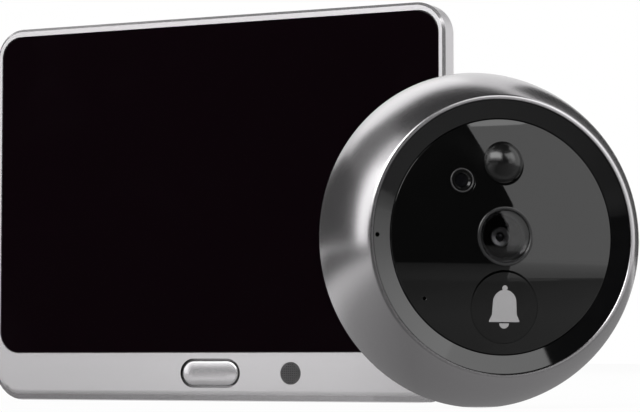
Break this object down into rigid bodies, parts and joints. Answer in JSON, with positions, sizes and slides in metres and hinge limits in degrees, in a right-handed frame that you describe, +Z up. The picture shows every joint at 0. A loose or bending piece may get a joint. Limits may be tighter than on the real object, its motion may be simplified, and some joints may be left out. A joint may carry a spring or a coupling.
{
  "type": "peephole door camera",
  "caption": "Door viewer set: an indoor touch-screen monitor with a hook-on door bracket, and a round outdoor camera with bell button, motion lens and light ring.",
  "frame": {"origin": "middle of the monitor's flat base", "axes": "+X to the right along the monitor's width, -Y out of the screen, +Z up; the outdoor unit stands in front on the right, turned about Z"},
  "size_m": [0.1702, 0.0909, 0.088],
  "materials": {
    "silver_plastic": "satin silver",
    "screen_glass": "gloss black printed",
    "tape": "matte",
    "display": "satin",
    "sheet_steel": "zinc plated",
    "screw_steel": "plated",
    "board": "solder mask",
    "black_plastic": "fine texture",
    "gloss_black": "polished",
    "smoked_plastic": "smoked, polished",
    "symbol_plastic": "translucent",
    "cover_plastic": "fine texture",
    "mesh": "woven",
    "seal_rubber": "matte",
    "foam": "closed cell",
    "cell": "foil",
    "copper": "foil",
    "housing_metal": "satin blasted",
    "lens_glass": "coated",
    "connector": "moulded",
    "led": "clear"
  },
  "bodies": {
    "monitor": {"front_frame": "silver_plastic", "cover_glass": "screen_glass", "glass_tape": "tape", "lcd_panel": "display", "chassis_plate": "sheet_steel", "chassis_screws": "screw_steel", "home_switch": "sheet_steel", "button_board": "board", "mic_mesh": "mesh", "mic_boot": "seal_rubber", "mic_capsule": "sheet_steel", "main_board": "board", "board_screws": "screw_steel", "processor_shield": "sheet_steel", "usb_socket": "sheet_steel", "card_socket": "sheet_steel", "camera_socket": "connector", "battery_pad": "foam", "battery_pack": "cell", "speaker": "black_plastic", "speaker_gasket": "foam", "wifi_antenna": "copper", "back_cover": "cover_plastic", "cover_screws": "screw_steel"},
    "home_key": {"home_button": "silver_plastic", "home_plunger": "black_plastic"},
    "door_bracket": {"bracket_plate": "sheet_steel", "bracket_studs": "screw_steel"},
    "outdoor_unit": {"housing": "housing_metal", "light_ring": "smoked_plastic", "front_window": "gloss_black", "bell_switch": "black_plastic", "lens_bezel": "black_plastic", "front_lens": "lens_glass", "lens_barrel": "black_plastic", "lens_holder": "black_plastic", "image_sensor": "lens_glass", "sensor_board": "board", "motion_lens": "gloss_black", "motion_sensor": "sheet_steel", "sensor_ring": "smoked_plastic", "light_guide": "gloss_black", "light_sensor": "black_plastic", "core_frame": "black_plastic", "led_board": "board", "ring_leds": "led", "outdoor_mic": "sheet_steel", "camera_board": "board", "camera_screws": "screw_steel", "camera_chips": "black_plastic", "cable_plug": "connector", "outdoor_speaker": "black_plastic", "back_plate": "black_plastic", "seal_ring": "seal_rubber", "plate_screws": "screw_steel", "cable_gland": "seal_rubber", "door_gasket": "foam"},
    "bell_key": {"bell_button": "gloss_black", "bell_symbol": "symbol_plastic", "bell_plunger": "connector"}
  },
  "joints": [
    {"name": "home_button_press", "type": "slide", "parent": "monitor", "child": "home_key", "axis": [0, 1, 0], "range_m": [0, 0.0004], "stiffness_N_per_m": 3000},
    {"name": "bracket_slide", "type": "slide", "parent": "monitor", "child": "door_bracket", "axis": [0, 0, -1], "range_m": [0, 0.007]},
    {"name": "outdoor_unit_slide", "type": "slide", "parent": "monitor", "child": "outdoor_unit", "axis": [0.682, -0.7314, 0], "range_m": [0, 0.1]},
    {"name": "bell_button_press", "type": "slide", "parent": "outdoor_unit", "child": "bell_key", "axis": [-0.682, 0.7314, 0], "range_m": [0, 0.0006], "stiffness_N_per_m": 2500}
  ]
}
